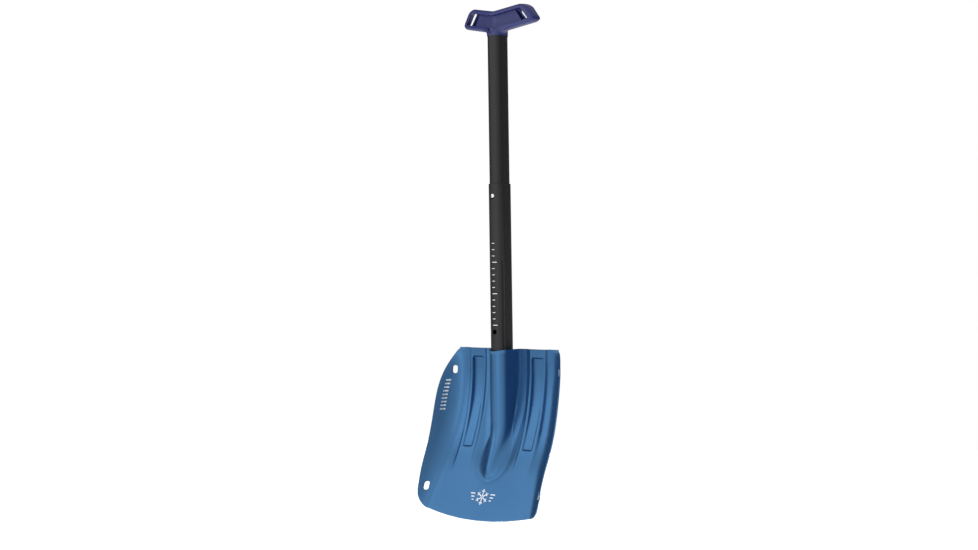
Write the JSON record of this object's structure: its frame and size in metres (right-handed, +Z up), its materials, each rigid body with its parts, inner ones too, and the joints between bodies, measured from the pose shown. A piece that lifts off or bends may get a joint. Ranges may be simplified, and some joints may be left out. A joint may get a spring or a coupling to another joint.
{
  "type": "avalanche shovel",
  "caption": "Telescoping avalanche shovel with a pressed, ribbed metal scoop, an oval two-part shaft locked by snap buttons, and a plastic T-grip.",
  "frame": {"origin": "middle of the T-grip, where a hand holds the shovel", "axes": "+Z up the shaft, -Y the scooping side, +X to the right seen from the scooping side"},
  "size_m": [0.2426, 0.1015, 0.8116],
  "materials": {
    "blade_metal": "satin metallic blue, faint upright grain",
    "shaft_metal": "satin black anodised",
    "button_steel": "polished",
    "spring_steel": "plain spring steel",
    "grip_plastic": "semi-gloss moulded navy",
    "insert_plastic": "moulded black",
    "rivet_metal": "plain"
  },
  "bodies": {
    "upper_shaft": {"handle_grip": "grip_plastic", "grip_rivet": "rivet_metal", "upper_tube": "shaft_metal", "upper_tube_plug": "insert_plastic", "upper_button_spring": "spring_steel"},
    "upper_button": {"upper_snap_button": "button_steel"},
    "lower_shaft": {"lower_tube": "shaft_metal", "lower_tube_plug": "insert_plastic", "lower_button_spring": "spring_steel"},
    "lower_button": {"lower_snap_button": "button_steel"},
    "scoop": {"blade": "blade_metal", "socket_back_plate": "blade_metal", "plate_rivet_left_1": "rivet_metal", "plate_rivet_left_2": "rivet_metal", "plate_rivet_left_3": "rivet_metal", "plate_rivet_right_1": "rivet_metal", "plate_rivet_right_2": "rivet_metal", "plate_rivet_right_3": "rivet_metal"}
  },
  "joints": [
    {"name": "shaft_telescope", "type": "slide", "parent": "upper_shaft", "child": "lower_shaft", "axis": [0, 0, 1], "range_m": [0, 0.2155], "deforming": ["upper_snap_button"]},
    {"name": "blade_release", "type": "slide", "parent": "lower_shaft", "child": "scoop", "axis": [0, 0, -1], "range_m": [0, 0.11], "deforming": ["lower_snap_button"]},
    {"name": "upper_button_press", "type": "slide", "parent": "upper_shaft", "child": "upper_button", "axis": [0, 1, 0], "range_m": [0, 0.0045], "stiffness_N_per_m": 2500, "deforming": ["upper_button_spring"]},
    {"name": "lower_button_press", "type": "slide", "parent": "lower_shaft", "child": "lower_button", "axis": [0, -1, 0], "range_m": [0, 0.0045], "stiffness_N_per_m": 2500, "deforming": ["lower_button_spring"]}
  ]
}
